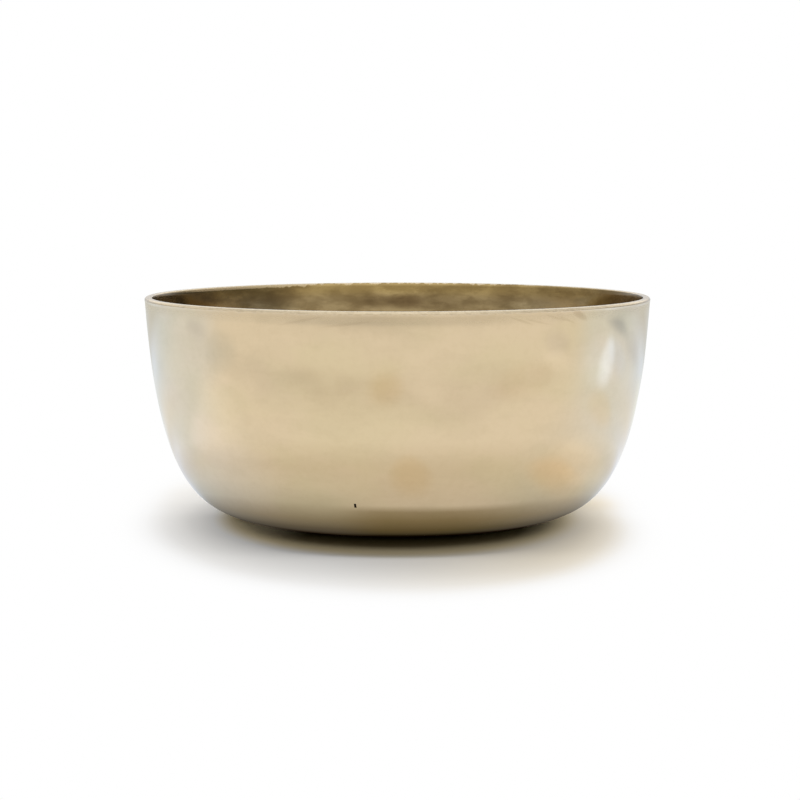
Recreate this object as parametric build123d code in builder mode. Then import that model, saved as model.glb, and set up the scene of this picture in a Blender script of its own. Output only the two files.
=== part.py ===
from build123d import *

import os
from math import sqrt

# Offering bowl, raised by hand from one disc of bell metal and polished inside and out.
# Millimetres, +Z up, with the origin at the centre of the flat base, on the table.

# Driving dimensions of the bowl
rim_diameter = 120.0  # across the lip, the widest place
height = 53.0  # from the table to the crest of the lip
base_diameter = 52.0  # the beaten flat that the bowl stands on
wall_thickness = 1.7  # the side, just under the lip
floor_thickness = 2.2  # the bottom, where the disc is least stretched

# The burnished lip: its outer edge is a round that stands a little proud of the wall, with a soft hollow
# under it, its crest is a narrow flat, and its inner edge is only eased
lip_radius = 0.6
lip_overhang = 0.05
lip_hollow_radius = 4.0
lip_inner_radius = 0.3

# The belly's curve: how far it leans out at the lip, and how full it is at the base and up the side
flare_angle = 4.0  # degrees from upright
base_fullness = 0.59  # share of the way out that the base's flat line carries
side_fullness = 0.93  # share of the height that the lip's leaning line carries

# Directions in the section: away from the axis, up, then up along the wall at the lip, and out through it
outward = Vector(1, 0)
upward = Vector(0, 1)
up_the_wall = upward.rotate(Axis.Z, -flare_angle)
through_the_wall = outward.rotate(Axis.Z, -flare_angle)

# The lip's outer edge: the hollow's arc touches both the face of the wall and the round
round_centre = Vector(rim_diameter / 2 - lip_radius, height - lip_radius)
hollow_reach = lip_radius - lip_overhang + lip_hollow_radius
hollow_drop = sqrt((lip_radius + lip_hollow_radius) ** 2 - hollow_reach**2)
hollow_centre = round_centre + through_the_wall * hollow_reach - up_the_wall * hollow_drop
outside_top = hollow_centre - through_the_wall * lip_hollow_radius
outside_round = round_centre + (hollow_centre - round_centre).normalized() * lip_radius
outside_crest = round_centre + upward * lip_radius

# The lip's inner edge: a small round from the wall's inner face to the crest
inside_wall = outside_top - through_the_wall * wall_thickness
inside_round_height = height - (1 + through_the_wall.Y) * lip_inner_radius
inside_top = inside_wall + up_the_wall * ((inside_round_height - inside_wall.Y) / up_the_wall.Y)
inside_crest = inside_top + (through_the_wall + upward) * lip_inner_radius


def belly_curve(bottom: Vector, top: Vector) -> list[Vector]:
    """Control points of one face of the wall, flat where it leaves the bottom and leaning out at the top."""
    reach = (top.X - bottom.X) * base_fullness
    climb = (top.Y - bottom.Y) * side_fullness
    return [bottom, bottom + outward * reach, top - up_the_wall * climb, top]


outside_bottom = Vector(base_diameter / 2, 0)
inside_bottom = Vector(base_diameter / 2, floor_thickness)

# The bowl: its section turned about the upright axis
with BuildPart() as bowl:
    with BuildSketch(Plane.XZ) as section:
        with BuildLine() as outline:
            Polyline(inside_bottom, (0, floor_thickness), (0, 0), outside_bottom)
            Bezier(*belly_curve(outside_bottom, outside_top))
            TangentArc(outside_top, outside_round, tangent=up_the_wall)
            TangentArc(outside_crest, outside_round, tangent=outward)
            Line(outside_crest, inside_crest)
            TangentArc(inside_top, inside_crest, tangent=up_the_wall)
            Bezier(*belly_curve(inside_bottom, inside_top))
        make_face()
    revolve(axis=Axis.Z)

bowl.part.label = "bowl"

os.makedirs("parts", exist_ok=True)
export_step(bowl.part, "parts/bowl.step")
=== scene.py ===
"""Dresses the offering bowl: hand-raised, polished bell metal on a white table in soft studio light."""

import logging
import math
from dataclasses import dataclass
from enum import Enum

import bpy
import numpy as np
from mathutils import Matrix, Vector


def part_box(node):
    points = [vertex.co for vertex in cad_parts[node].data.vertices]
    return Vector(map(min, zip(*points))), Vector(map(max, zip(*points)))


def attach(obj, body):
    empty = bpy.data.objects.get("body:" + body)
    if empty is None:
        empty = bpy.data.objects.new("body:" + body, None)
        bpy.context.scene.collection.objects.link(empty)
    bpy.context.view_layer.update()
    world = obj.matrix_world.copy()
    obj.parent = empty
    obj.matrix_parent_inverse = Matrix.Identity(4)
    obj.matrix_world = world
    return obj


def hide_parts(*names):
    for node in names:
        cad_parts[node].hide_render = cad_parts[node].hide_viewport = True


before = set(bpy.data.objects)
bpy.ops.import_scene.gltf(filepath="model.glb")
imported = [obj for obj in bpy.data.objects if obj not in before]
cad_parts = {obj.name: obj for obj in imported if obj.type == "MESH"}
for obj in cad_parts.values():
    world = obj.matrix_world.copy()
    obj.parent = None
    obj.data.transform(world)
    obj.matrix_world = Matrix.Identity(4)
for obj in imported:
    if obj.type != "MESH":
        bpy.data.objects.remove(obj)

MM = 0.001
PHOTO_SIDE = 800  # pixels, the photograph is square
SENSOR_WIDTH = 36.0  # millimetres, as Blender keeps it

Colour = tuple[float, float, float]
Range = tuple[float, float]  # the value at which a mask is 0, then the one at which it is 1

WHITE: Colour = (1.0, 1.0, 1.0)
DIMMED: Colour = (0.05, 0.05, 0.05)  # what a stage surface gives to light that was scattered before
NOISE_MIDDLE = 0.5  # the value that noise varies about

log = logging.getLogger("offering_bowl")


class Ray(Enum):
    """What a stage surface may know of the ray that meets it."""

    CAMERA = "Is Camera Ray"
    GLOSSY = "Is Glossy Ray"
    SCATTERED = "Diffuse Depth"
    PASSED = "Transparent Depth"


class Shade:
    """A value in a shader. Arithmetic on it adds Math nodes."""

    def __init__(self, web: "NodeWeb", socket: bpy.types.NodeSocket) -> None:
        """Keeps the socket that gives the value, and the nodes that it is one of."""
        self.web = web
        self.socket = socket

    def _maths(self, operation: str, *values: "Shade | float") -> "Shade":
        """Adds one Math node that works on the values in turn."""
        return self.web.add("ShaderNodeMath", {"operation": operation}, dict(enumerate(values)))

    def __add__(self, other: "Shade | float") -> "Shade":
        """This value and another."""
        return self._maths("ADD", self, other)

    __radd__ = __add__

    def __sub__(self, other: "Shade | float") -> "Shade":
        """This value less another."""
        return self._maths("SUBTRACT", self, other)

    def __rsub__(self, other: "Shade | float") -> "Shade":
        """Another value less this one."""
        return self._maths("SUBTRACT", other, self)

    def __mul__(self, other: "Shade | float") -> "Shade":
        """This value times another."""
        return self._maths("MULTIPLY", self, other)

    __rmul__ = __mul__

    def __truediv__(self, other: "Shade | float") -> "Shade":
        """This value divided by another."""
        return self._maths("DIVIDE", self, other)

    def __pow__(self, other: "Shade | float") -> "Shade":
        """This value to a power."""
        return self._maths("POWER", self, other)

    def size(self) -> "Shade":
        """The value without its sign."""
        return self._maths("ABSOLUTE", self)

    def root(self) -> "Shade":
        """The value's square root."""
        return self._maths("SQRT", self)

    def rise(self, low: float, high: float) -> "Shade":
        """Goes smoothly from 0 at low to 1 at high; with low above high it falls instead.

        Args:
            low: The value that gives 0.
            high: The value that gives 1.

        Returns:
            A mask from 0 to 1.
        """
        limits = {"From Min": min(low, high), "From Max": max(low, high)}
        mask = self.web.add(
            "ShaderNodeMapRange", {"interpolation_type": "SMOOTHSTEP"}, {"Value": self, **limits}
        )
        return mask if low < high else 1 - mask

    def hump(self, middle: float, reach: float) -> "Shade":
        """A soft hump, 1 at the middle and 0 from the reach on either side."""
        return (self - middle).size().rise(reach, 0.0)

    def once(self) -> "Shade":
        """For a count: 0 while it is 0, and 1 from the first time on."""
        return self.rise(0.0, 1.0)

    def fill(self, share: "Shade | float") -> "Shade":
        """The value, filled up towards 1 by a share of what it lacks."""
        return self + (1 - self) * share


class NodeWeb:
    """The nodes of one material or world, added by type with their settings and sockets."""

    def __init__(self, tree: bpy.types.NodeTree) -> None:
        """Empties the tree, so that only what is added here is in it."""
        tree.nodes.clear()
        self.tree = tree

    def add(
        self,
        kind: str,
        settings: dict[str, object] | None = None,
        inputs: dict[str | int, object] | None = None,
        output: str | int = 0,
    ) -> Shade | None:
        """Adds a node.

        Args:
            kind: The node's type.
            settings: Its properties, set first; "stops" are a ramp's places and colours.
            inputs: Values or shades for its sockets, by name, identifier or number.
            output: The socket that the result is read from.

        Returns:
            The output as a shade, or None where the node has none.
        """
        node = self.tree.nodes.new(kind)
        for name, setting in (settings or {}).items():
            if name == "stops":
                self._set_stops(node.color_ramp, setting)
            else:
                setattr(node, name, setting)
        for name, value in (inputs or {}).items():
            socket = self._socket(node.inputs, name)
            if isinstance(value, Shade):
                self.tree.links.new(value.socket, socket)
            elif isinstance(value, tuple) and socket.type == "RGBA":
                socket.default_value = (*value, 1.0)
            else:
                socket.default_value = value
        return Shade(self, self._socket(node.outputs, output)) if node.outputs else None

    @staticmethod
    def _set_stops(ramp: bpy.types.ColorRamp, stops: list[tuple[float, Colour]]) -> None:
        """Gives a ramp its stops.

        Args:
            ramp: The ramp, which has two stops when it is new.
            stops: Two or more places with their colours, in rising order.
        """
        while len(ramp.elements) < len(stops):
            ramp.elements.new(1.0)
        for element, (place, colour) in zip(ramp.elements, stops):
            element.position = place
            element.color = (*colour, 1.0)

    @staticmethod
    def _socket(sockets: bpy.types.bpy_prop_collection, name: str | int) -> bpy.types.NodeSocket:
        """Finds a socket.

        Args:
            sockets: A node's inputs or outputs.
            name: The socket's number, identifier or name, tried in that order.

        Returns:
            The socket.
        """
        if isinstance(name, int):
            return sockets[name]
        return next((s for s in sockets if s.identifier == name), None) or sockets[name]

    def mix(
        self, share: Shade | float, first: Shade | Colour, second: Shade | Colour, blend: str = "MIX"
    ) -> Shade:
        """Mixes two colours, the second by its share."""
        colours = {"Factor_Float": share, "A_Color": first, "B_Color": second}
        return self.add("ShaderNodeMix", {"data_type": "RGBA", "blend_type": blend}, colours, "Result_Color")

    def tint(self, colour: Shade | Colour, by: Shade | Colour, share: Shade | float = 1.0) -> Shade:
        """Multiplies one colour by another, by a share."""
        return self.mix(share, colour, by, "MULTIPLY")

    def split(self, vector: Shade) -> tuple[Shade, Shade, Shade]:
        """The three parts of a vector, each as a value."""
        parts = [self.add("ShaderNodeSeparateXYZ", {}, {"Vector": vector}, part) for part in "XYZ"]
        return parts[0], parts[1], parts[2]

    def sees(self, ray: Ray) -> Shade:
        """What the ray that meets the surface is, or how often it was scattered or let through."""
        return self.add("ShaderNodeLightPath", output=ray.value)


@dataclass(frozen=True)
class Blend:
    """A colour that comes in gradually, while some value goes from the start to where it is full."""

    colour: Colour
    start: float
    full: float

    def mask(self, value: Shade) -> Shade:
        """How far the colour has come in, from 0 to 1."""
        return value.rise(self.start, self.full)

    def over(self, web: NodeWeb, colour: Shade | Colour, value: Shade) -> Shade:
        """Another colour, with this one mixed in."""
        return web.mix(self.mask(value), colour, self.colour)

    def tint(self, web: NodeWeb, colour: Shade | Colour, value: Shade) -> Shade:
        """Another colour, tinted by this one."""
        return web.tint(colour, self.colour, self.mask(value))


@dataclass(frozen=True)
class Pattern:
    """Cloudy noise: the size of its lumps, how often wider than high they are, and how they break up."""

    size: float
    flatness: float = 1.0
    detail: float = 2.0
    roughness: float = 0.5

    def lay(self, web: NodeWeb, place: Shade) -> Shade:
        """Lays the pattern over a surface.

        Args:
            web: The nodes of the surface's material.
            place: The place on the surface.

        Returns:
            The noise as a value.
        """
        flattened = web.add("ShaderNodeMapping", {}, {"Vector": place, "Scale": (1.0, 1.0, self.flatness)})
        fineness = {"Scale": 1.0 / self.size, "Detail": self.detail, "Roughness": self.roughness}
        return web.add("ShaderNodeTexNoise", {}, {"Vector": flattened, **fineness})


@dataclass(frozen=True)
class Wear:
    """A stretch of the lip's inner edge that is worn back."""

    middle: float
    reach: float
    depth: float


@dataclass(frozen=True)
class Spot:
    """A soft oval, lighter or darker than what lies around it."""

    across: float
    along: float
    half_length: float
    half_width: float
    turn: float  # degrees
    tint: Colour

    def mask(self, across: Shade, along: Shade) -> Shade:
        """The spot's own shape: 1 in its middle, 0 outside it.

        Args:
            across: The place from left to right.
            along: The place the other way, on the same surface.

        Returns:
            A mask from 0 to 1.
        """
        cosine = math.cos(math.radians(self.turn))
        sine = math.sin(math.radians(self.turn))
        right = across - self.across
        ahead = along - self.along
        lengthwise = (right * cosine + ahead * sine) / self.half_length
        sideways = (ahead * cosine - right * sine) / self.half_width
        return (lengthwise * lengthwise + sideways * sideways).rise(1.0, 0.0)


@dataclass(frozen=True)
class BellMetal:
    """Polished bell metal: pale gold under a thin wax, with clouds and polishing strokes, browner inside."""

    straw: Colour = (0.735, 0.602, 0.368)
    rose: Colour = (0.755, 0.606, 0.384)
    lip: Colour = (0.780, 0.655, 0.460)
    worn: Colour = (0.540, 0.430, 0.255)
    tarnish: Colour = (0.370, 0.280, 0.150)
    yellowed: Colour = (1.000, 0.950, 0.720)
    # painted shade in the casting pit, nearly black
    painted_pit_shade: Colour = (0.020, 0.014, 0.006)
    streak: Colour = (0.965, 0.965, 0.960)
    grain: Colour = (0.985, 0.982, 0.975)
    # a cooler, darker tint for the band under the lip: a painted reflection of the dim room
    painted_dim_reflection: Colour = (0.885, 0.895, 0.905)
    file_mark: Colour = (0.900, 0.890, 0.870)
    cloud_pattern: Pattern = Pattern(22.0 * MM, 1.7, 3.0)
    cloud_tones: Range = (0.38, 0.62)
    smudge_pattern: Pattern = Pattern(9.0 * MM, 1.0, 4.0, 0.6)
    smudge_tones: Range = (0.45, 0.75)
    streak_pattern: Pattern = Pattern(15.0 * MM, 2.6, 4.0, 0.6)
    streak_tones: Range = (0.42, 0.62)
    grain_pattern: Pattern = Pattern(1.8 * MM, 1.0, 3.0, 0.6)
    grain_tones: Range = (0.45, 0.65)
    mottle_pattern: Pattern = Pattern(7.0 * MM, 2.5, 4.0, 0.6)
    mottle_tones: Range = (0.35, 0.65)
    file_pattern: Pattern = Pattern(1.3 * MM)
    file_tones: Range = (0.48, 0.62)
    line_pattern: Pattern = Pattern(7.0 * MM, 40.0, 3.0, 0.6)
    line_depth: float = 0.0008 * MM
    file_depth: float = 0.012 * MM
    polish: float = 0.10  # roughness of the clean metal
    smudge: float = 0.07  # roughness that handling adds
    lip_wear: float = 0.18  # roughness that the burnisher leaves under the crest
    lip_wear_from: Range = (-4.5 * MM, -1.5 * MM)
    lip_reach: float = 1.3 * MM
    lip_full: float = 0.7  # the share of its reach within which the lip's own tone is full
    lip_uneven: float = 1.0 * MM
    dim_reflection_from: Range = (-3.8 * MM, -2.8 * MM)  # the band under the lip with its painted darker reflection, between these two places
    dim_reflection_to: Range = (-0.7 * MM, -1.1 * MM)
    dim_reflection_middle: float = -9.0 * MM
    dim_reflection_reach: float = 34.0 * MM
    dim_reflection_beyond: float = 0.2  # how much of the band there is past its reach
    dim_reflection_even: float = 0.6  # how much of it the smudges leave alone
    dim_reflection_tones: Range = (0.35, 0.60)
    inside_edge: Range = (0.95 * MM, 1.20 * MM)
    inside_uneven: float = 2.4 * MM
    uneven_across: Range = (40.0 * MM, 24.0 * MM)
    worn_edges: tuple[Wear, ...] = (
        Wear(-32.0 * MM, 15.0 * MM, 0.65 * MM),
        Wear(-47.0 * MM, 16.0 * MM, 0.75 * MM),
    )
    yellowed_depth: Range = (5.5 * MM, 2.5 * MM)
    floor_depth: Range = (12.0 * MM, 35.0 * MM)
    floor_even: float = 0.65  # how far the mottles fade down there
    front_half: Range = (0.0, -1.0 * MM)
    back_half: Range = (-25.0 * MM, 0.0)
    wax: float = 0.6
    wax_roughness: float = 0.09
    wax_ior: float = 1.5
    # Single strokes of the polisher under the lip, by their place across and their height
    strokes: tuple[Spot, ...] = (
        Spot(27.0 * MM, 50.6 * MM, 3.2 * MM, 0.36 * MM, -19.0, (0.91, 0.90, 0.88)),
        Spot(30.5 * MM, 50.3 * MM, 3.6 * MM, 0.34 * MM, -15.0, (0.93, 0.92, 0.90)),
        Spot(35.0 * MM, 50.9 * MM, 3.2 * MM, 0.36 * MM, -18.0, (0.93, 0.92, 0.90)),
        Spot(37.2 * MM, 50.5 * MM, 2.8 * MM, 0.36 * MM, -25.0, (0.92, 0.91, 0.89)),
        Spot(40.2 * MM, 51.4 * MM, 2.6 * MM, 1.0 * MM, -35.0, (0.85, 0.82, 0.78)),
        Spot(-21.0 * MM, 50.8 * MM, 6.0 * MM, 0.40 * MM, 12.0, (0.93, 0.92, 0.91)),
        Spot(-11.0 * MM, 50.2 * MM, 7.0 * MM, 0.40 * MM, 7.0, (0.94, 0.93, 0.92)),
    )
    # Darker and paler places of the inside wall, laid out in the same way; the paler, bluish ones are painted
    # reflections of cool light
    inside_patches_and_reflections: tuple[Spot, ...] = (
        Spot(-58.0 * MM, 49.5 * MM, 14.0 * MM, 14.0 * MM, 0.0, (0.50, 0.46, 0.42)),
        Spot(-43.0 * MM, 49.0 * MM, 11.0 * MM, 8.0 * MM, 0.0, (1.30, 1.27, 1.24)),
        Spot(-30.6 * MM, 49.8 * MM, 5.0 * MM, 6.0 * MM, 0.0, (0.66, 0.62, 0.55)),
        Spot(-25.5 * MM, 49.5 * MM, 4.0 * MM, 6.0 * MM, 0.0, (0.86, 0.84, 0.80)),
        Spot(-10.0 * MM, 49.5 * MM, 5.0 * MM, 5.0 * MM, 0.0, (0.82, 0.79, 0.74)),
        Spot(11.0 * MM, 49.6 * MM, 4.5 * MM, 5.0 * MM, 0.0, (0.84, 0.82, 0.78)),
        Spot(27.5 * MM, 49.8 * MM, 4.5 * MM, 6.0 * MM, 0.0, (0.72, 0.69, 0.64)),
        Spot(57.0 * MM, 49.5 * MM, 11.0 * MM, 14.0 * MM, 0.0, (0.52, 0.48, 0.42)),
        Spot(8.0 * MM, 48.1 * MM, 24.0 * MM, 2.6 * MM, 0.0, (0.80, 0.78, 0.75)),
        Spot(2.0 * MM, 48.2 * MM, 6.5 * MM, 2.4 * MM, 0.0, (0.62, 0.56, 0.50)),
        Spot(0.7 * MM, 51.3 * MM, 8.0 * MM, 2.6 * MM, 0.0, (1.25, 1.28, 1.30)),
        Spot(37.0 * MM, 46.8 * MM, 13.0 * MM, 2.6 * MM, 0.0, (1.28, 1.36, 1.50)),
        Spot(-36.0 * MM, 46.8 * MM, 13.0 * MM, 2.6 * MM, 0.0, (1.22, 1.30, 1.45)),
        Spot(-50.5 * MM, 49.3 * MM, 6.0 * MM, 3.5 * MM, 0.0, (0.64, 0.62, 0.62)),
        Spot(-5.0 * MM, 48.2 * MM, 4.5 * MM, 2.4 * MM, 0.0, (0.70, 0.66, 0.60)),
        Spot(50.0 * MM, 49.3 * MM, 6.0 * MM, 2.4 * MM, 0.0, (1.12, 1.25, 1.55)),
        Spot(59.0 * MM, 48.8 * MM, 6.0 * MM, 5.0 * MM, 0.0, (0.64, 0.62, 0.58)),
    )

    def material(self) -> bpy.types.Material:
        """Makes the material.

        Returns:
            The material, which reads the bowl's own "along" and "pit" attributes.
        """
        material = bpy.data.materials.new("polished_bell_metal")
        material.use_nodes = True
        web = NodeWeb(material.node_tree)
        place = web.add("ShaderNodeTexCoord", output="Object")
        along = web.add("ShaderNodeAttribute", {"attribute_name": "along"}, output="Fac")
        pit = web.add("ShaderNodeAttribute", {"attribute_name": "pit"}, output="Fac")
        smudges = self.smudge_pattern.lay(web, place)
        files = self.file_pattern.lay(web, place)

        lip = (along + (files - NOISE_MIDDLE) * self.lip_uneven).size()
        lip = lip.rise(self.lip_reach, self.lip_full * self.lip_reach)
        inside = self._inside(web, place, along, files)
        gold = self._gold(web, place, along, smudges)
        colour = web.mix(inside, gold, self._patina(web, place, along))
        colour = web.mix(lip * (1 - inside), colour, self.lip)
        colour = web.tint(colour, self.file_mark, lip * files.rise(*self.file_tones))
        # The pit is painted nearly black: painted shade in the recess.
        colour = web.mix(pit, colour, self.painted_pit_shade)

        under_crest = along.rise(*self.lip_wear_from) * (1 - inside)
        roughness = self.polish + self.smudge * smudges.rise(*self.smudge_tones) + self.lip_wear * under_crest
        relief = self.line_pattern.lay(web, place) * self.line_depth + lip * files * self.file_depth
        bump = web.add("ShaderNodeBump", {}, {"Strength": 1.0, "Distance": 1.0, "Height": relief}, "Normal")
        metal = web.add(
            "ShaderNodeBsdfPrincipled",
            {},
            {
                "Base Color": colour,
                "Metallic": 1.0,
                "Roughness": roughness,
                "Normal": bump,
                "Coat Weight": self.wax,
                "Coat Roughness": self.wax_roughness,
                "Coat IOR": self.wax_ior,
            },
        )
        web.add("ShaderNodeOutputMaterial", {}, {"Surface": metal})
        return material

    def _inside(self, web: NodeWeb, place: Shade, along: Shade, files: Shade) -> Shade:
        """Finds the inside, whose edge at the lip is uneven and worn back on the left.

        Args:
            web: The nodes of the material.
            place: The place on the bowl.
            along: How far along the section that is from the lip's crest.
            files: The pattern that the file left.

        Returns:
            A mask, 1 on the inside.
        """
        across, _, _ = web.split(place)
        uneven = (files - NOISE_MIDDLE) * across.size().rise(*self.uneven_across) * self.inside_uneven
        for wear in self.worn_edges:
            uneven = uneven - across.hump(wear.middle, wear.reach) * wear.depth
        return (along + uneven).rise(*self.inside_edge)

    def _gold(self, web: NodeWeb, place: Shade, along: Shade, smudges: Shade) -> Shade:
        """Mixes the outside's pale gold: clouds, streaks, grain, strokes, and a painted dim reflection below
        the lip.

        Args:
            web: The nodes of the material.
            place: The place on the bowl.
            along: How far along the section that is from the lip's crest.
            smudges: The pattern that handling left.

        Returns:
            The colour.
        """
        across, away, up = web.split(place)
        colour = web.mix(self.cloud_pattern.lay(web, place).rise(*self.cloud_tones), self.straw, self.rose)
        colour = web.tint(colour, self.streak, self.streak_pattern.lay(web, place).rise(*self.streak_tones))
        colour = web.tint(colour, self.grain, self.grain_pattern.lay(web, place).rise(*self.grain_tones))
        # A cooler, darker band under the lip, patchy with the smudges: a painted reflection of the dim room.
        dim_reflection = along.rise(*self.dim_reflection_from) * along.rise(*self.dim_reflection_to)
        dim_reflection = dim_reflection * across.hump(self.dim_reflection_middle, self.dim_reflection_reach).fill(self.dim_reflection_beyond)
        dim_reflection = dim_reflection * smudges.rise(*self.dim_reflection_tones).fill(self.dim_reflection_even)
        colour = web.tint(colour, self.painted_dim_reflection, dim_reflection)
        return self._spotted(web, colour, self.strokes, across, up, away.rise(*self.front_half))

    def _patina(self, web: NodeWeb, place: Shade, along: Shade) -> Shade:
        """Mixes the inside's brown: mottled, more evenly so near the floor, with darker patches and painted
        reflections on the far wall.

        Args:
            web: The nodes of the material.
            place: The place on the bowl.
            along: How far along the section that is from the lip's crest.

        Returns:
            The colour.
        """
        across, away, up = web.split(place)
        mottled = self.mottle_pattern.lay(web, place).rise(*self.mottle_tones)
        mottled = mottled + (NOISE_MIDDLE - mottled) * self.floor_even * along.rise(*self.floor_depth)
        colour = web.mix(mottled, self.tarnish, self.worn)
        colour = web.tint(colour, self.yellowed, along.rise(*self.yellowed_depth))
        # The far wall's darker patches, and its paler bluish spots, which are painted reflections of cool
        # light.
        return self._spotted(web, colour, self.inside_patches_and_reflections, across, up, away.rise(*self.back_half))

    def _spotted(
        self, web: NodeWeb, colour: Shade, spots: tuple[Spot, ...], across: Shade, up: Shade, half: Shade
    ) -> Shade:
        """Tints the metal by spots that are laid out as seen from the front.

        Args:
            web: The nodes of the material.
            colour: The metal's colour without the spots.
            spots: The spots, by their place across and their height.
            across: The place on the bowl from left to right.
            up: The height on the bowl.
            half: 1 on the half of the bowl that has the spots.

        Returns:
            The colour with the spots.
        """
        for spot in spots:
            colour = web.tint(colour, spot.tint, half * spot.mask(across, up))
        return colour


@dataclass(frozen=True)
class Swell:
    """One scale of the unevenness that the planishing hammer leaves."""

    size: float
    height: float


@dataclass(frozen=True)
class Section:
    """The bowl's section, walked from the axis under the base, over the lip, to the axis on the floor."""

    points: np.ndarray  # one row for each point: its distance from the axis and its height
    crest: int  # the point at the outer edge of the lip's flat crest

    def along(self) -> np.ndarray:
        """How far along the section each point is from the crest, below 0 on the outside."""
        lengths = run_lengths(self.points)
        return lengths - lengths[self.crest]


@dataclass
class Bowl:
    """The bowl: one section turned about the upright axis, then beaten, with a pit low on its front."""

    rim_radius: float
    height: float
    base_radius: float = 26.0 * MM
    wall: float = 1.7 * MM
    floor: float = 2.2 * MM
    lip_radius: float = 0.6 * MM
    lip_overhang: float = 0.05 * MM
    lip_hollow: float = 4.0 * MM
    lip_inner_radius: float = 0.3 * MM
    flare: float = math.radians(4.0)
    base_fullness: float = 0.59
    side_fullness: float = 0.93
    sides: int = 288
    flat_steps: int = 8
    belly_steps: int = 80
    belly_finer: int = 20  # how many times finer its curve is measured
    hollow_steps: int = 6
    round_steps: int = 9
    inner_steps: int = 5
    seam: float = 0.01 * MM  # points nearer than this are one
    swells: tuple[Swell, ...] = (Swell(26.0 * MM, 0.30 * MM), Swell(11.0 * MM, 0.05 * MM))
    unbeaten_lip: float = 3.0 * MM  # the burnisher trues the lip again
    beaten_below_lip: float = 12.0 * MM
    true_base: float = 1.0 * MM  # the height up to which the base stays flat
    beaten_above_base: float = 7.0 * MM
    pit_height: float = 9.7 * MM
    pit_search: float = 1.0 * MM  # how far above and below the wall is looked for
    pit_turn: float = math.radians(-11.2)  # to the left of the front
    pit_faces: int = 2
    pit_margin: float = 0.3 * MM
    pit_depth: float = 0.5 * MM
    finish: BellMetal = BellMetal()

    def build(self) -> bpy.types.Object:
        """Models the bowl and dresses it.

        Returns:
            The finished piece, at the origin.
        """
        section = self._section()
        piece = self._draw(section)
        self._mark(piece, section)
        self._turn()
        self._beat(piece)
        self._pit(piece)
        self._dress(piece)
        return piece

    def _section(self) -> Section:
        """Lays out the section: the same lip, belly and base as the part's own.

        Returns:
            The section, with its crest marked.
        """
        lean = Matrix.Rotation(-self.flare, 2)
        upward = Vector((0.0, 1.0))
        up_the_wall = lean @ upward
        through = lean @ Vector((1.0, 0.0))

        round_centre = Vector((self.rim_radius - self.lip_radius, self.height - self.lip_radius))
        reach = self.lip_radius - self.lip_overhang + self.lip_hollow
        drop = math.sqrt((self.lip_radius + self.lip_hollow) ** 2 - reach**2)
        hollow_centre = round_centre + through * reach - up_the_wall * drop
        outside_top = hollow_centre - through * self.lip_hollow
        outside_round = round_centre + (hollow_centre - round_centre).normalized() * self.lip_radius
        outside_crest = round_centre + upward * self.lip_radius

        inside_wall = outside_top - through * self.wall
        inner_height = self.height - (1 + through.y) * self.lip_inner_radius
        inside_top = inside_wall + up_the_wall * ((inner_height - inside_wall.y) / up_the_wall.y)
        inner_centre = inside_top + through * self.lip_inner_radius
        inside_crest = inner_centre + upward * self.lip_inner_radius

        outside = self._belly(0.0, outside_top, up_the_wall)
        outside += arc(hollow_centre, outside_top, outside_round, self.hollow_steps)[1:]
        outside += arc(round_centre, outside_round, outside_crest, self.round_steps)[1:]
        inside = self._belly(self.floor, inside_top, up_the_wall)
        inside += arc(inner_centre, inside_top, inside_crest, self.inner_steps)[1:]
        return Section(np.array(outside + inside[::-1]), len(outside) - 1)

    def _belly(self, level: float, top: Vector, up_the_wall: Vector) -> list[Vector]:
        """Draws one face from the axis: flat over the base, then the belly's curve, leaning out at the lip.

        Args:
            level: The height of the flat.
            top: Where the curve meets the lip.
            up_the_wall: The wall's own direction at the lip.

        Returns:
            The face's points, those of the curve evenly along it.
        """
        bottom = Vector((self.base_radius, level))
        first = bottom + Vector(((top.x - bottom.x) * self.base_fullness, 0.0))
        second = top - up_the_wall * (top.y - bottom.y) * self.side_fullness
        fine_steps = self.belly_finer * self.belly_steps
        fine = []
        for i in range(fine_steps + 1):
            t = i / fine_steps
            s = 1 - t
            fine.append(bottom * s**3 + first * 3 * s * s * t + second * 3 * s * t * t + top * t**3)
        lengths = run_lengths(np.array(fine))
        places = np.linspace(0.0, lengths[-1], self.belly_steps + 1)
        chosen = np.searchsorted(lengths, places - lengths[1] / 2)
        flat = [Vector((bottom.x * i / self.flat_steps, level)) for i in range(self.flat_steps)]
        return flat + [fine[i] for i in chosen]

    def _draw(self, section: Section) -> bpy.types.Object:
        """Draws the section as a line of edges, one extruded vertex after another.

        Args:
            section: The section.

        Returns:
            The piece, still only a line.
        """
        bpy.ops.object.select_all(action="DESELECT")
        bpy.ops.mesh.primitive_circle_add(vertices=3, radius=self.base_radius)
        piece = bpy.context.object
        piece.name = "raised_bowl"
        bpy.ops.object.mode_set(mode="EDIT")
        bpy.ops.mesh.select_mode(type="VERT")
        bpy.ops.mesh.select_all(action="SELECT")
        bpy.ops.mesh.merge(type="CENTER")
        for step in np.diff(section.points, axis=0):
            move = {"value": (float(step[0]), 0.0, float(step[1]))}
            bpy.ops.mesh.extrude_region_move(TRANSFORM_OT_translate=move)
        bpy.ops.object.mode_set(mode="OBJECT")
        return piece

    def _mark(self, piece: bpy.types.Object, section: Section) -> None:
        """Marks each point with how far it is from the lip's crest, and with how much the hammer moved it.

        Args:
            piece: The line of the section.
            section: The section.
        """
        along = section.along()
        below_lip = np.clip((np.abs(along) - self.unbeaten_lip) / self.beaten_below_lip, 0, 1)
        above_base = np.clip((section.points[:, 1] - self.true_base) / self.beaten_above_base, 0, 1)
        above_base = np.where(along > 0, 1.0, above_base)
        attribute = piece.data.attributes.new("along", "FLOAT", "POINT")
        attribute.data.foreach_set("value", along.astype(np.float32))
        group = piece.vertex_groups.new(name="beaten")
        for index, weight in enumerate(below_lip * above_base):
            group.add([index], float(weight), "REPLACE")

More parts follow.
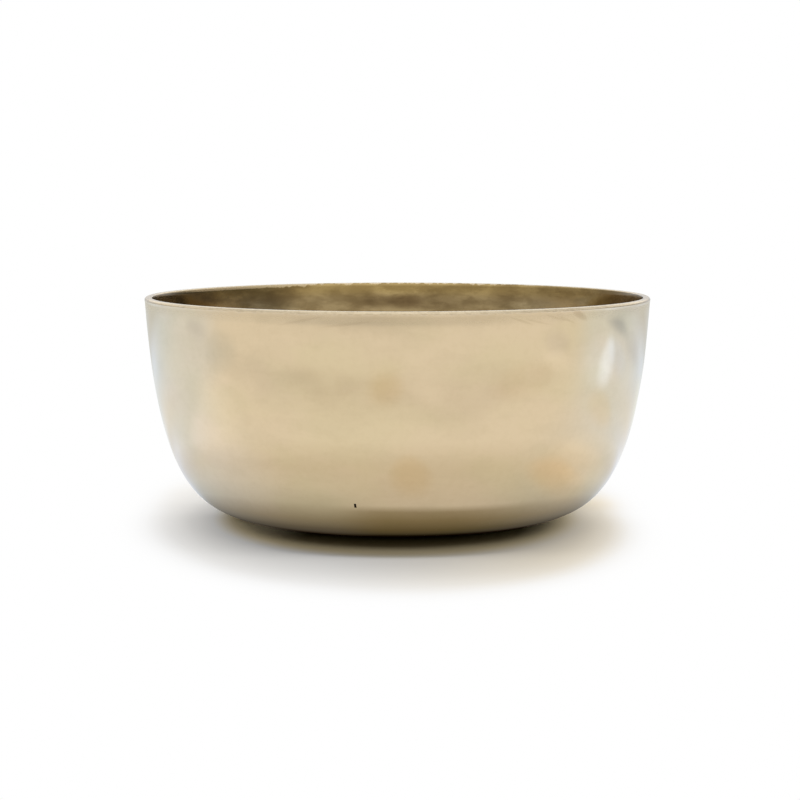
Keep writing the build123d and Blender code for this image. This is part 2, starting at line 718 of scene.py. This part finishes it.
    def _turn(self) -> None:
        """Spins the line, the active object, about the upright axis and closes the seam and both poles."""
        bpy.ops.object.mode_set(mode="EDIT")
        bpy.ops.mesh.select_all(action="SELECT")
        bpy.ops.mesh.spin(steps=self.sides, angle=math.tau, center=(0, 0, 0), axis=(0, 0, 1))
        bpy.ops.mesh.select_all(action="SELECT")
        bpy.ops.mesh.remove_doubles(threshold=self.seam)
        bpy.ops.mesh.normals_make_consistent(inside=False)
        bpy.ops.object.mode_set(mode="OBJECT")
        bpy.ops.object.shade_smooth()

    def _beat(self, piece: bpy.types.Object) -> None:
        """Gives the belly the soft swells that the planishing hammer leaves.

        Args:
            piece: The bowl, still true all over.
        """
        for swell in self.swells:
            texture = bpy.data.textures.new("planishing", "CLOUDS")
            texture.noise_scale = swell.size
            texture.noise_depth = 1
            modifier = piece.modifiers.new("planishing", "DISPLACE")
            modifier.texture = texture
            modifier.texture_coords = "LOCAL"
            modifier.strength = swell.height
            modifier.vertex_group = "beaten"
            bpy.ops.object.modifier_apply(modifier=modifier.name)

    def _pit(self, piece: bpy.types.Object) -> None:
        """Sinks the small casting pit, taller than wide, into the faces nearest to its place.

        Args:
            piece: The beaten bowl.
        """
        towards = Vector((math.sin(self.pit_turn), -math.cos(self.pit_turn)))
        outer = [f for f in piece.data.polygons if f.normal.xy.dot(towards) > 0]
        level = [f for f in outer if abs(f.center.z - self.pit_height) < self.pit_search]
        place = (towards * max(f.center.xy.length for f in level)).to_3d()
        place.z = self.pit_height
        first = min(outer, key=lambda face: (face.center - place).length)
        turn = math.atan2(first.center.y, first.center.x)
        column = [f for f in outer if abs(math.atan2(f.center.y, f.center.x) - turn) < math.pi / self.sides]
        column.sort(key=lambda face: (face.center - first.center).length)
        chosen = [face.index for face in column[: self.pit_faces]]
        piece.data.attributes.active = piece.data.attributes.new("pit", "FLOAT", "POINT")
        bpy.ops.object.mode_set(mode="EDIT")
        bpy.ops.mesh.select_mode(type="FACE")
        bpy.ops.mesh.select_all(action="DESELECT")
        bpy.ops.object.mode_set(mode="OBJECT")
        for index in chosen:
            piece.data.polygons[index].select = True
        bpy.ops.object.mode_set(mode="EDIT")
        bpy.ops.mesh.inset(thickness=self.pit_margin)
        bpy.ops.mesh.region_to_loop()
        bpy.ops.mesh.mark_sharp()
        bpy.ops.mesh.loop_to_region()
        bpy.ops.mesh.extrude_region_shrink_fatten(TRANSFORM_OT_shrink_fatten={"value": -self.pit_depth})
        bpy.ops.mesh.attribute_set(value_float=1.0)
        bpy.ops.object.mode_set(mode="OBJECT")

    def _dress(self, piece: bpy.types.Object) -> None:
        """Gives the bowl its finish and its place in the frame.

        Args:
            piece: The bowl, with its shape finished.
        """
        piece.vertex_groups.clear()
        piece.data.materials.append(self.finish.material())
        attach(piece, "root")
        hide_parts("bowl")


@dataclass
class Table:
    """The white table: it takes the bowl's shadow, and away from it shows as plain white."""

    side: float = 3.0
    gap: float = 0.02 * MM  # the air under the base
    # The warm paint near the bowl and to its right is painted light: the bowl's golden glow in its shadow.
    painted_bounce_near: Colour = (0.95, 0.78, 0.42)
    paint_left: Colour = (0.94, 0.925, 0.90)
    painted_bounce_right: Colour = (0.95, 0.84, 0.65)
    glow_near: Colour = (1.00, 0.85, 0.58)
    glow_left: Colour = (1.00, 0.985, 0.955)
    glow_right: Colour = (1.00, 0.92, 0.78)
    glow_fades: Range = (0.35, 0.95)  # how clear of the shadow a place is while the glow turns to white
    warm_across: float = 43.5 * MM  # half the width of the part that the bowl's own glow warms
    warm_edge: Range = (1.03, 0.88)
    warm_back: Range = (45.0 * MM, 10.0 * MM)
    warm_fades: Range = (0.6, 0.3)
    right_across: Range = (-20.0 * MM, 45.0 * MM)
    right_back: Range = (50.0 * MM, 20.0 * MM)
    shadow_left: float = 3.0 * MM  # how far its middle is to the left of the bowl's
    shadow_lean: float = 0.04  # and how far it leans to the right towards the front
    shadow_across: float = 66.0 * MM
    shadow_before: float = 124.0 * MM
    shadow_back: Range = (35.0 * MM, 85.0 * MM)
    shadow_tones: tuple[tuple[float, float], ...] = (
        (0.50, 0.0),
        (0.564, 0.033),
        (0.636, 0.133),
        (0.709, 0.256),
        (0.791, 0.467),
        (0.836, 0.667),
        (0.873, 0.833),
        (0.909, 0.933),
        (0.945, 0.983),
        (1.0, 1.0),
    )
    lamp_shadow_across: float = 50.0 * MM
    lamp_shadow_before: float = 62.5 * MM
    lamp_shadow_outer: Range = (0.72, 0.90)
    lamp_shadow_glow: float = 0.14  # how much white shows in the outer part of the lamp's own shadow
    lamp_shadow_rim: Range = (0.96, 1.04)
    lamp_shadow_edge: float = 0.17  # and how much more just in front of it
    front_across: Range = (40.0 * MM, 15.0 * MM)
    front_before: Range = (20.0 * MM, 45.0 * MM)
    beside_from: Range = (5.0 * MM, 20.0 * MM)  # beside the bowl's back half the shadow is deeper
    beside_tones: Range = (0.12, 0.30)
    beside_depth: float = 0.35
    left_across: Range = (-20.0 * MM, -36.0 * MM)  # and on the left of its front half, a little lighter
    left_before: Range = (3.0 * MM, -15.0 * MM)
    left_glow: float = 0.06
    near_reach: float = 100.0 * MM
    near_tones: tuple[tuple[float, Colour], ...] = (
        (0.36, (0.01, 0.006, 0.002)),
        (0.41, (0.125, 0.097, 0.047)),
        (0.46, (0.25, 0.21, 0.135)),
        (0.50, (0.36, 0.32, 0.25)),
        (0.53, (0.70, 0.67, 0.65)),
        (0.74, (0.79, 0.76, 0.73)),
        (0.95, (0.93, 0.92, 0.93)),
    )
    side_tones: tuple[tuple[float, Colour], ...] = (
        (0.36, (0.03, 0.02, 0.01)),
        (0.41, (0.13, 0.11, 0.08)),
        (0.46, (0.31, 0.28, 0.23)),
        (0.50, (0.46, 0.44, 0.40)),
        (0.53, (0.58, 0.57, 0.54)),
        (0.58, (0.68, 0.67, 0.65)),
        (0.62, (0.74, 0.725, 0.70)),
        (0.74, (0.79, 0.76, 0.73)),
        (0.95, (0.93, 0.92, 0.93)),
    )
    turned_left: Range = (-0.05, -0.40)  # from the tones before the bowl to those beside it
    turned_right: Range = (0.25, 0.90)
    flank: Blend = Blend((0.945, 1.03, 1.18), -70.0 * MM, 10.0 * MM)
    back: Blend = Blend((0.80, 0.89, 1.03), 80.0 * MM, 200.0 * MM)
    behind: Blend = Blend((1.00, 0.94, 0.83), 30.0 * MM, 90.0 * MM)
    behind_across: Range = (190.0 * MM, 110.0 * MM)
    beyond: Blend = Blend((0.66, 0.67, 0.65), 240.0 * MM, 450.0 * MM)
    foreground: Blend = Blend((0.64, 0.63, 0.62), -262.0 * MM, -330.0 * MM)
    patch_pattern: Pattern = Pattern(45.0 * MM, 1.0, 3.0)
    patch_tones: Range = (0.2, 0.65)
    # Soft patches of light and shade that the metal mirrors, by their place across and away
    spots: tuple[Spot, ...] = (
        Spot(236.0 * MM, 45.0 * MM, 82.0 * MM, 25.0 * MM, 29.0, (1.24, 1.32, 1.48)),
        Spot(350.0 * MM, 128.0 * MM, 85.0 * MM, 48.0 * MM, 121.0, (0.62, 0.64, 0.70)),
        Spot(-324.0 * MM, 34.0 * MM, 70.0 * MM, 34.0 * MM, -53.0, (0.84, 0.84, 0.85)),
        Spot(140.0 * MM, 8.0 * MM, 36.0 * MM, 28.0 * MM, 10.0, (1.02, 0.96, 0.87)),
        Spot(-122.0 * MM, -22.0 * MM, 55.0 * MM, 42.0 * MM, 0.0, (1.13, 1.11, 1.12)),
        Spot(68.0 * MM, 0.0, 45.0 * MM, 55.0 * MM, 0.0, (1.04, 1.01, 0.95)),
        Spot(-56.0 * MM, -30.0 * MM, 32.0 * MM, 28.0 * MM, 0.0, (1.03, 1.05, 1.12)),
        Spot(-12.0 * MM, -156.0 * MM, 22.0 * MM, 32.0 * MM, 0.0, (0.94, 0.89, 0.79)),
        Spot(5.0 * MM, -70.0 * MM, 10.0 * MM, 16.0 * MM, 0.0, (0.97, 0.92, 0.83)),
        Spot(58.0 * MM, -38.0 * MM, 15.0 * MM, 16.0 * MM, 0.0, (1.00, 0.96, 0.90)),
        Spot(-75.0 * MM, -22.0 * MM, 20.0 * MM, 30.0 * MM, 0.0, (1.05, 1.05, 1.06)),
        Spot(95.0 * MM, 205.0 * MM, 80.0 * MM, 80.0 * MM, 0.0, (1.08, 1.06, 1.00)),
        Spot(255.0 * MM, 200.0 * MM, 80.0 * MM, 80.0 * MM, 0.0, (0.91, 0.90, 0.91)),
        Spot(-60.0 * MM, 80.0 * MM, 58.0 * MM, 48.0 * MM, 0.0, (0.91, 0.90, 0.88)),
        Spot(22.0 * MM, 60.0 * MM, 42.0 * MM, 42.0 * MM, 0.0, (1.00, 0.96, 0.87)),
        Spot(245.0 * MM, 85.0 * MM, 70.0 * MM, 50.0 * MM, 0.0, (0.95, 1.00, 1.09)),
        Spot(215.0 * MM, 8.0 * MM, 62.0 * MM, 50.0 * MM, 0.0, (1.04, 1.07, 1.11)),
        Spot(-240.0 * MM, -48.0 * MM, 62.0 * MM, 48.0 * MM, 0.0, (0.85, 0.88, 0.91)),
        Spot(245.0 * MM, -95.0 * MM, 48.0 * MM, 42.0 * MM, 0.0, (0.90, 0.89, 0.94)),
        Spot(72.0 * MM, -20.0 * MM, 22.0 * MM, 32.0 * MM, 0.0, (1.11, 1.09, 1.07)),
        Spot(54.0 * MM, -32.0 * MM, 14.0 * MM, 24.0 * MM, 0.0, (1.07, 1.02, 0.96)),
        Spot(-178.0 * MM, -20.0 * MM, 40.0 * MM, 45.0 * MM, 0.0, (1.08, 1.06, 1.06)),
        Spot(200.0 * MM, -84.0 * MM, 36.0 * MM, 36.0 * MM, 0.0, (1.08, 1.08, 1.10)),
        Spot(-55.0 * MM, 222.0 * MM, 70.0 * MM, 36.0 * MM, 0.0, (0.91, 0.91, 0.87)),
    )
    # Patchy streaks of shade before the bowl, laid out in the same way
    streaks: tuple[Spot, ...] = (
        Spot(-150.0 * MM, -104.0 * MM, 95.0 * MM, 45.0 * MM, -20.0, (0.88, 0.88, 0.88)),
        Spot(-60.0 * MM, -142.0 * MM, 90.0 * MM, 40.0 * MM, 0.0, (0.88, 0.86, 0.85)),
        Spot(60.0 * MM, -135.0 * MM, 85.0 * MM, 40.0 * MM, 2.0, (0.90, 0.89, 0.89)),
        Spot(135.0 * MM, -106.0 * MM, 62.0 * MM, 30.0 * MM, 20.0, (0.92, 0.89, 0.85)),
    )

    def build(self) -> bpy.types.Object:
        """Lays the table.

        Returns:
            The table's top, as part of the stage.
        """
        bpy.ops.object.select_all(action="DESELECT")
        bpy.ops.mesh.primitive_plane_add(size=self.side, location=(0.0, 0.0, -self.gap))
        table = bpy.context.object
        table.name = "table"
        table.data.materials.append(self._paint())
        return table

    def _paint(self) -> bpy.types.Material:
        """Makes the table's paint.

        Returns:
            A white material that takes shadow near the bowl, warmed there by painted bounce light.
        """
        material = bpy.data.materials.new("table_paint")
        material.use_nodes = True
        material.cycles.emission_sampling = "NONE"
        web = NodeWeb(material.node_tree)
        place = web.add("ShaderNodeTexCoord", output="Object")
        across, away, _ = web.split(place)
        ahead = (away.size() - away) / 2
        clear = self._clear(web, across, away, ahead)
        # Where the bowl's glow falls, the paint itself is warmed: painted bounce light.
        warm = self._oval(across, ahead, self.warm_across, self.lamp_shadow_before).rise(*self.warm_edge)
        warm = warm * away.rise(*self.warm_back)
        rightward = across.rise(*self.right_across) * away.rise(*self.right_back)
        paint = web.mix(rightward, self.paint_left, self.painted_bounce_right)
        paint = web.mix(warm, paint, self.painted_bounce_near)
        lit = web.add("ShaderNodeBsdfDiffuse", {}, {"Color": paint})
        glow = web.mix(rightward, self.glow_left, self.glow_right)
        glow = web.mix(clear.rise(*self.glow_fades), glow, WHITE)
        glow = web.mix(warm * clear.rise(*self.warm_fades), glow, self.glow_near)
        white = web.add("ShaderNodeEmission", {}, {"Color": glow, "Strength": 1.0})
        seen = web.add("ShaderNodeMixShader", {}, {0: clear * web.sees(Ray.CAMERA), 1: lit, 2: white})

        tone = web.tint(self._mirrored_tone(web, place), DIMMED, web.sees(Ray.SCATTERED).once())
        mirrored = web.add("ShaderNodeEmission", {}, {"Color": tone, "Strength": 1.0})
        surface = web.add("ShaderNodeMixShader", {}, {0: web.sees(Ray.GLOSSY), 1: seen, 2: mirrored})
        from_below = web.add("ShaderNodeNewGeometry", output="Backfacing")
        from_below = (from_below + web.sees(Ray.PASSED)).once()
        open_air = web.add("ShaderNodeBsdfTransparent")
        surface = web.add("ShaderNodeMixShader", {}, {0: from_below, 1: surface, 2: open_air})
        web.add("ShaderNodeOutputMaterial", {}, {"Surface": surface})
        return material

    def _clear(self, web: NodeWeb, across: Shade, away: Shade, ahead: Shade) -> Shade:
        """Finds how clear of the bowl's shadow each place on the table is.

        Args:
            web: The nodes of the table's paint.
            across: The place from left to right.
            away: The place from front to back.
            ahead: How far before the bowl's middle the place is, and 0 behind it.

        Returns:
            0 in the deepest shadow, 1 where the table is plain white.
        """
        middle = across + self.shadow_left - ahead * self.shadow_lean
        reach = self._oval(middle, ahead, self.shadow_across, self.shadow_before)
        core = self._oval(across, ahead, self.lamp_shadow_across, self.lamp_shadow_before)
        stops = [(at, (tone, tone, tone)) for at, tone in self.shadow_tones]
        clear = web.add("ShaderNodeValToRGB", {"stops": stops}, {"Fac": reach}, "Color")
        clear = clear.fill(away.rise(*self.shadow_back))
        clear = clear.fill(self.lamp_shadow_glow * core.rise(*self.lamp_shadow_outer))
        beside = away.rise(*self.beside_from) * clear.rise(*self.beside_tones)
        clear = clear - clear * (1 - clear) * self.beside_depth * beside
        left = across.rise(*self.left_across) * away.rise(*self.left_before)
        clear = clear.fill(self.left_glow * left)
        front = across.size().rise(*self.front_across) * ahead.rise(*self.front_before)
        return clear.fill(self.lamp_shadow_edge * core.rise(*self.lamp_shadow_rim) * front)

    @staticmethod
    def _oval(across: Shade, ahead: Shade, half_across: float, half_ahead: float) -> Shade:
        """How far out a place is in an oval: 0 in its middle, 1 on its edge."""
        return ((across / half_across) ** 2 + (ahead / half_ahead) ** 2).root()

    def _mirrored_tone(self, web: NodeWeb, place: Shade) -> Shade:
        """The tone that the bowl mirrors: its own shadow, then white, cooler at the sides, with a soft band.

        Args:
            web: The nodes of the table's paint.
            place: The place on the table.

        Returns:
            The tone as a colour.
        """
        across, away, _ = web.split(place)
        radius = (across * across + away * away).root()
        reach = {"Fac": radius / self.near_reach}
        before = web.add("ShaderNodeValToRGB", {"stops": self.near_tones}, reach, "Color")
        beside = web.add("ShaderNodeValToRGB", {"stops": self.side_tones}, reach, "Color")
        turned = across / radius
        turned = turned.rise(*self.turned_left) + turned.rise(*self.turned_right)
        tone = self.flank.tint(web, web.mix(turned, before, beside), away)
        tone = self.back.over(web, tone, away)
        near_axis = across.size().rise(*self.behind_across)
        tone = web.tint(tone, self.behind.colour, near_axis * self.behind.mask(away))
        tone = self.beyond.over(web, tone, away)
        tone = self.foreground.tint(web, tone, away)
        for spot in self.spots:
            tone = web.tint(tone, spot.tint, spot.mask(across, away))
        patches = self.patch_pattern.lay(web, place).rise(*self.patch_tones)
        for streak in self.streaks:
            tone = web.tint(tone, streak.tint, patches * streak.mask(across, away))
        return tone


@dataclass
class Studio:
    """The light: a bright wall behind the bowl and one long lamp overhead, in a room that is dim in front."""

    front_light: Colour = (0.03, 0.03, 0.03)
    side_light: Blend = Blend((0.32, 0.32, 0.32), -0.35, 0.05)
    back_light: Blend = Blend((3.00, 3.00, 3.00), 0.3, 0.7)
    left: Colour = (0.44, 0.40, 0.33)
    right: Blend = Blend((0.16, 0.15, 0.13), -0.5, 0.5)
    back: Blend = Blend((0.52, 0.54, 0.58), 0.55, 0.9)
    horizon: Colour = (0.86, 0.83, 0.76)
    room: Blend = Blend((0.58, 0.53, 0.42), 0.0, 0.10)
    room_before: Range = (-0.2, -0.7)
    window: Blend = Blend((1.05, 1.02, 0.96), 0.12, 0.24)  # low light all round, for the lip
    ceiling: Colour = (0.95, 0.95, 0.94)
    ceiling_side: Blend = Blend((0.62, 0.63, 0.64), 0.3, 0.75)
    ceiling_above: Range = (0.25, 0.55)
    ground: Blend = Blend((0.82, 0.80, 0.76), -0.1, -0.5)  # under the table, for views from below
    lamp_length: float = 500.0 * MM
    lamp_width: float = 80.0 * MM
    lamp_right: float = 20.0 * MM
    lamp_before: float = 30.0 * MM
    lamp_height: float = 650.0 * MM
    lamp_power: float = 1.0

    def build(self) -> None:
        """Sets up the surroundings and the lamp."""
        self._surround()
        bpy.ops.object.select_all(action="DESELECT")
        place = (self.lamp_right, -self.lamp_before, self.lamp_height)
        bpy.ops.object.light_add(type="AREA", location=place)
        lamp = bpy.context.object
        lamp.name = "overhead_lamp"
        lamp.data.shape = "RECTANGLE"
        lamp.data.size = self.lamp_length
        lamp.data.size_y = self.lamp_width
        lamp.data.energy = self.lamp_power
        lamp.visible_glossy = False

    def _surround(self) -> None:
        """Paints the world: what lights the table, what the metal mirrors, and white to the camera."""
        world = bpy.data.worlds.new("studio")
        world.use_nodes = True
        bpy.context.scene.world = world
        web = NodeWeb(world.node_tree)
        across, away, up = web.split(web.add("ShaderNodeTexCoord", output="Generated"))
        lighting = self.side_light.over(web, self.front_light, away)
        lighting = self.back_light.over(web, lighting, away)

        mirrored = self.right.over(web, self.left, across)
        mirrored = self.back.over(web, mirrored, away)
        room = self.room.over(web, self.horizon, up)
        mirrored = web.mix(away.rise(*self.room_before), mirrored, room)
        mirrored = self.window.over(web, mirrored, up)
        ceiling = self.ceiling_side.over(web, self.ceiling, across.size())
        mirrored = web.mix(up.rise(*self.ceiling_above), mirrored, ceiling)
        mirrored = self.ground.over(web, mirrored, up)
        mirrored = web.tint(mirrored, DIMMED, web.sees(Ray.SCATTERED).once())
        shown = web.mix(web.sees(Ray.GLOSSY), lighting, mirrored)
        shown = web.mix(web.sees(Ray.CAMERA), shown, WHITE)
        light = web.add("ShaderNodeBackground", {}, {"Color": shown, "Strength": 1.0})
        web.add("ShaderNodeOutputWorld", {}, {"Surface": light})


@dataclass
class Viewpoint:
    """The photograph's camera, which looks slightly down on the bowl from the front."""

    aim_height: float
    distance: float = 600.0 * MM
    elevation: float = math.radians(5.864)
    focal_pixels: float = 2505.8
    aim_right: float = 0.613 * MM
    aim_up: float = 1.494 * MM
    nearest: float = 10.0 * MM  # nothing nearer to the camera is shown

    def build(self) -> bpy.types.Object:
        """Sets up the camera.

        Returns:
            The scene's camera.
        """
        toward = Vector((0.0, math.cos(self.elevation), -math.sin(self.elevation)))
        camera_up = Vector((0.0, math.sin(self.elevation), math.cos(self.elevation)))
        middle = Vector((0.0, 0.0, self.aim_height))
        aim = middle + Vector((self.aim_right, 0.0, 0.0)) + camera_up * self.aim_up
        stand = middle - toward * self.distance
        bpy.ops.object.select_all(action="DESELECT")
        bpy.ops.object.camera_add(location=stand, rotation=(aim - stand).to_track_quat("-Z", "Y").to_euler())
        camera = bpy.context.object
        camera.data.sensor_width = SENSOR_WIDTH
        camera.data.lens = self.focal_pixels / PHOTO_SIDE * SENSOR_WIDTH
        camera.data.clip_start = self.nearest
        bpy.context.scene.camera = camera
        return camera


def run_lengths(points: np.ndarray) -> np.ndarray:
    """Measures a line.

    Args:
        points: The line's points, one a row.

    Returns:
        How far along the line each point is.
    """
    return np.concatenate([[0.0], np.cumsum(np.linalg.norm(np.diff(points, axis=0), axis=1))])


def arc(centre: Vector, start: Vector, end: Vector, steps: int) -> list[Vector]:
    """Draws an arc the short way round.

    Args:
        centre: The arc's centre.
        start: Its first point.
        end: Its last point.
        steps: How many chords it is drawn with.

    Returns:
        The arc's points, both ends among them.
    """
    spoke = start - centre
    turn = -spoke.angle_signed(end - centre)
    return [centre + Matrix.Rotation(turn * i / steps, 2) @ spoke for i in range(steps + 1)]


def main() -> None:
    """Builds the bowl, the stage and the camera, and logs the bowl's face count and the camera's lens."""
    logging.basicConfig(level=logging.INFO, format="%(name)s: %(message)s")
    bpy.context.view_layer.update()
    low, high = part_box("bowl")
    bpy.context.scene.view_settings.view_transform = "Standard"

    bowl = Bowl(rim_radius=high.x, height=high.z - low.z)
    piece = bowl.build()
    log.info("%s: %d faces", piece.name, len(piece.data.polygons))
    table = Table().build()
    log.info("%s laid", table.name)
    Studio().build()
    camera = Viewpoint(aim_height=(low.z + high.z) / 2).build()
    log.info("%s set, lens %.1f mm", camera.name, camera.data.lens)


if __name__ == "__main__":
    main()
